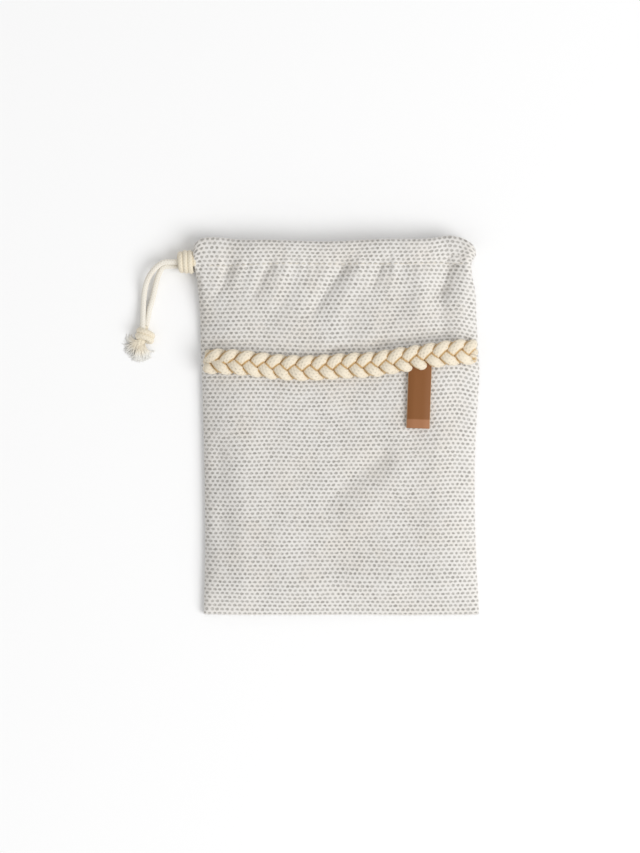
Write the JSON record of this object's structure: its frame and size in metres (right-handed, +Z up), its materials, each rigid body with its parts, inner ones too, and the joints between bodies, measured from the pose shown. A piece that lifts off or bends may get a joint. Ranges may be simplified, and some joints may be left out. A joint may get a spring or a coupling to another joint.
{
  "type": "drawstring gift pouch",
  "caption": "Flat woven cloth pouch with a cord drawn through casings at its mouth, a braided band across the front, a hanging leather tag, a sliding stopper knot and a frayed end knot.",
  "frame": {"origin": "under the middle of the pouch, on the surface it lies on, measured without its loose cord", "axes": "+X across the pouch away from the cord, +Y towards its mouth, +Z up out of its front"},
  "size_m": [0.1682, 0.1788, 0.0146],
  "materials": {
    "woven_cloth": "coarse plain-woven natural cotton",
    "cord_cotton": "round cotton cord, undyed",
    "braid_cotton": "knitted cotton cord, braided flat",
    "thread": "sewing thread, undyed",
    "tan_leather": "smooth tan leather, cut edges raw"
  },
  "bodies": {
    "bag": {"front_panel": "woven_cloth", "back_panel": "woven_cloth", "left_side_seam": "woven_cloth", "left_seam_stitching": "thread", "right_side_seam": "woven_cloth", "right_seam_stitching": "thread", "bottom_seam": "woven_cloth", "bottom_seam_stitching": "thread", "front_casing": "woven_cloth", "back_casing": "woven_cloth", "front_casing_stitching": "thread", "back_casing_stitching": "thread", "casing_corner": "woven_cloth", "braid_strand_a": "braid_cotton", "braid_strand_b": "braid_cotton", "braid_strand_c": "braid_cotton", "left_braid_tack": "thread", "right_braid_tack": "thread"},
    "label": {"leather_label": "tan_leather"},
    "drawstring": {"drawstring_loop": "cord_cotton", "front_lead": "cord_cotton", "back_lead": "cord_cotton"},
    "tails": {"front_tail": "cord_cotton", "back_tail": "cord_cotton", "end_knot": "cord_cotton", "front_frayed_end": "cord_cotton", "back_frayed_end": "cord_cotton"},
    "stopper": {"cord_stopper": "cord_cotton"}
  },
  "joints": [
    {"name": "drawstring_pull", "type": "slide", "parent": "bag", "child": "drawstring", "axis": [-1, 0, 0], "range_m": [0, 0.04], "deforming": ["drawstring_loop", "front_lead", "back_lead"]},
    {"name": "tail_swing", "type": "hinge", "parent": "drawstring", "child": "tails", "pos_m": [-0.0802, 0.0767, 0], "axis": [0, 0, 1], "range_deg": [-30, 25], "deforming": ["front_tail", "back_tail"]},
    {"name": "stopper_slide", "type": "slide", "parent": "bag", "child": "stopper", "axis": [-1, 0, 0], "range_m": [0, 0.0045]},
    {"name": "label_lift", "type": "hinge", "parent": "bag", "child": "label", "pos_m": [0.0388, 0.0241, 0.0116], "axis": [-1, 0, 0], "range_deg": [0, 75]}
  ]
}
